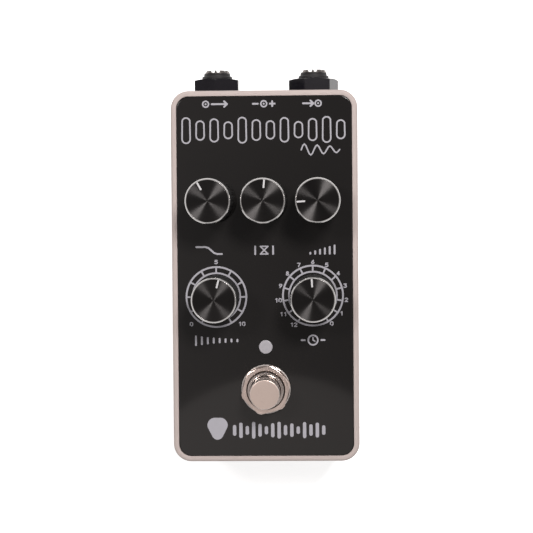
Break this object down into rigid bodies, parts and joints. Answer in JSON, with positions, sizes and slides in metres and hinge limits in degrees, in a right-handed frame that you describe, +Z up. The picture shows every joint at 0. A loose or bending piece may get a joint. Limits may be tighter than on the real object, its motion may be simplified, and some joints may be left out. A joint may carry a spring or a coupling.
{
  "type": "delay pedal",
  "caption": "Compact guitar delay pedal: cast box with inlaid gloss plate, fluted turning knobs, footswitch, end-wall jacks and a power socket.",
  "frame": {"origin": "on the surface that the feet stand on, under the middle of the pedal's overall box, jack noses included", "axes": "+Z up out of the control face, +Y from the footswitch towards the wall with the jacks, +X to the right seen from above"},
  "size_m": [0.0584, 0.124, 0.0509],
  "materials": {
    "board": "solder mask",
    "box_metal": "satin, lightly blasted",
    "chip_black": "moulded",
    "control_case": "stamped",
    "copper_alloy": "tinned",
    "cover_metal": "satin",
    "film_case": "moulded box",
    "jack_plastic": "moulded, faintly glossy",
    "knob_black": "black anodised, spun face, bright cut rim",
    "lens": "frosted, translucent",
    "nickel": "polished nickel",
    "plate_gloss": "high gloss, printed in pale grey",
    "ribbon": "flat cable",
    "rubber": "matte",
    "shaft_metal": "turned",
    "spring_steel": "drawn wire",
    "zinc": "zinc plated"
  },
  "bodies": {
    "case": {"age_control": "control_case", "board_capacitors": "film_case", "board_chips": "chip_black", "bottom_cover": "cover_metal", "control_nuts": "zinc", "cover_screws": "zinc", "enclosure": "box_metal", "front_plate": "plate_gloss", "input_contact": "copper_alloy", "input_ferrule": "nickel", "input_jack": "jack_plastic", "input_jack_nut": "jack_plastic", "input_jack_washer": "jack_plastic", "jack_board": "board", "jack_ribbon": "ribbon", "lamp": "lens", "lamp_lens": "lens", "level_control": "control_case", "main_board": "board", "output_contact": "copper_alloy", "output_ferrule": "nickel", "output_jack": "jack_plastic", "output_jack_nut": "jack_plastic", "output_jack_washer": "jack_plastic", "power_pin": "zinc", "power_socket": "jack_plastic", "repeats_control": "control_case", "rubber_feet": "rubber", "switch_frame": "nickel", "switch_housing": "jack_plastic", "switch_inner_nut": "zinc", "switch_lock_washer": "zinc", "switch_lugs": "copper_alloy", "switch_nut": "nickel", "switch_ribbon": "ribbon", "switch_spring": "spring_steel", "switch_washer": "nickel", "time_control": "control_case", "tone_control": "control_case"},
    "tone_dial": {"tone_knob": "knob_black", "tone_shaft": "shaft_metal", "tone_set_screw": "zinc"},
    "age_dial": {"age_knob": "knob_black", "age_shaft": "shaft_metal", "age_set_screw": "zinc"},
    "level_dial": {"level_knob": "knob_black", "level_shaft": "shaft_metal", "level_set_screw": "zinc"},
    "repeats_dial": {"repeats_knob": "knob_black", "repeats_shaft": "shaft_metal", "repeats_set_screw": "zinc"},
    "time_dial": {"time_knob": "knob_black", "time_shaft": "shaft_metal", "time_set_screw": "zinc"},
    "plunger": {"switch_plunger": "nickel"}
  },
  "joints": [
    {"name": "tone_turn", "type": "hinge", "parent": "case", "child": "tone_dial", "pos_m": [-0.0166, 0.01995, 0.03495], "axis": [0, 0, 1], "range_deg": [-179, 121]},
    {"name": "age_turn", "type": "hinge", "parent": "case", "child": "age_dial", "pos_m": [0, 0.01995, 0.03495], "axis": [0, 0, 1], "range_deg": [-145, 155]},
    {"name": "level_turn", "type": "hinge", "parent": "case", "child": "level_dial", "pos_m": [0.0166, 0.01995, 0.03495], "axis": [0, 0, 1], "range_deg": [-244, 56]},
    {"name": "repeats_turn", "type": "hinge", "parent": "case", "child": "repeats_dial", "pos_m": [-0.015, -0.01005, 0.03495], "axis": [0, 0, 1], "range_deg": [-136, 164]},
    {"name": "time_turn", "type": "hinge", "parent": "case", "child": "time_dial", "pos_m": [0.015, -0.01005, 0.03495], "axis": [0, 0, 1], "range_deg": [-153.5, 146.5]},
    {"name": "footswitch_press", "type": "slide", "parent": "case", "child": "plunger", "axis": [0, 0, -1], "range_m": [0, 0.0035], "stiffness_N_per_m": 1500, "springref_m": -0.004, "deforming": ["switch_spring"]}
  ]
}
